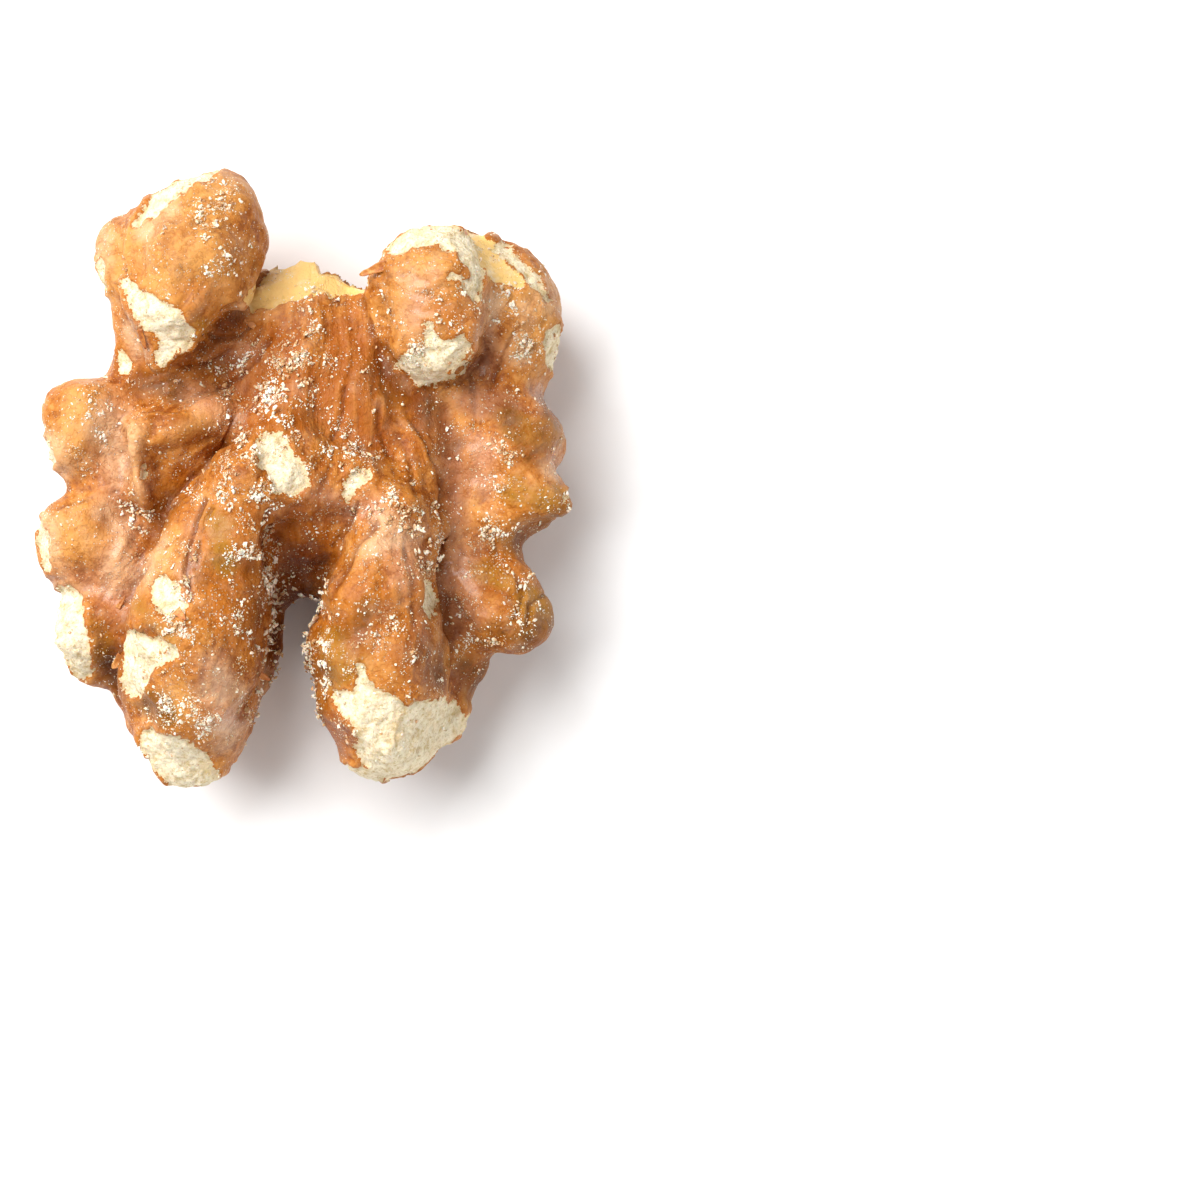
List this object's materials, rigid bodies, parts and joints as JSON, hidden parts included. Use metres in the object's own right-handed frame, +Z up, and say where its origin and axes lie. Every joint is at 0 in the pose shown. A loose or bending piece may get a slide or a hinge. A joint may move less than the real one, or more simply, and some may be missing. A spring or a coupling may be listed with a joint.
{
  "type": "roasted walnut half",
  "caption": "Half of a roasted walnut kernel with lobes, knobs and brain-like folds, lying on its rounded back with its inner side up.",
  "frame": {"origin": "middle of the kernel's box at the height of the flats it rests on", "axes": "+X across the two lobes, +Y from the slot between the legs to the pale tip, +Z up out of the surface it lies on"},
  "size_m": [0.0278, 0.032, 0.0136],
  "materials": {
    "walnut_skin": "roasted orange-brown skin with a soft gloss, torn off in places down to pale, chalky meat"
  },
  "bodies": {
    "root": {"kernel": "walnut_skin"}
  },
  "joints": []
}
